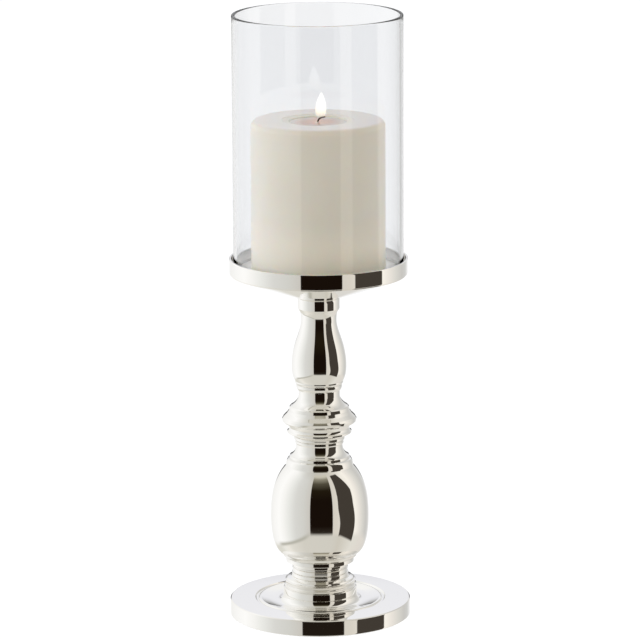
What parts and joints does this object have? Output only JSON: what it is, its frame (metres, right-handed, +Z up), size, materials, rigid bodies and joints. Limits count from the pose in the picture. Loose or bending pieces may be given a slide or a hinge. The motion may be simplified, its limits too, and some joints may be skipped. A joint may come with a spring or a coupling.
{
  "type": "hurricane candle holder",
  "caption": "Tall baluster stand in polished silver plate, with a round shallow tray that carries an open clear glass cylinder round a pale pillar candle.",
  "frame": {"origin": "centre of the felt pad's underside, on the table", "axes": "+Z up along the turned axis of the stand, towards the glass; +X the way the burnt wick leans"},
  "size_m": [0.107, 0.107, 0.36],
  "materials": {
    "silver_plate": "mirror-polished silver plate",
    "zinc_steel": "bright zinc plate",
    "cast_weight": "as cast",
    "felt": "pressed felt",
    "clear_glass": "clear, fire-polished rim",
    "wax": "smooth wax, melted pool",
    "burnt_cotton": "charred cotton"
  },
  "bodies": {
    "stand": {"felt_pad": "felt", "foot_shell": "silver_plate", "foot_weight": "cast_weight", "foot_column": "silver_plate", "vase": "silver_plate", "knop": "silver_plate", "baluster": "silver_plate", "neck_collar": "silver_plate", "tray_cup": "silver_plate", "tray_rim": "silver_plate", "tray_plate": "silver_plate", "tie_rod": "zinc_steel", "base_nut": "zinc_steel", "base_lock_washer": "zinc_steel", "base_washer": "zinc_steel", "tray_washer": "zinc_steel", "tray_nut": "zinc_steel"},
    "glass": {"glass_cylinder": "clear_glass"},
    "pillar_candle": {"candle": "wax", "wick": "burnt_cotton"}
  },
  "joints": [
    {"name": "glass_lift", "type": "slide", "parent": "stand", "child": "glass", "axis": [0, 0, 1], "range_m": [0, 0.12]},
    {"name": "candle_lift", "type": "slide", "parent": "stand", "child": "pillar_candle", "axis": [0, 0, 1], "range_m": [0, 0.16]}
  ]
}
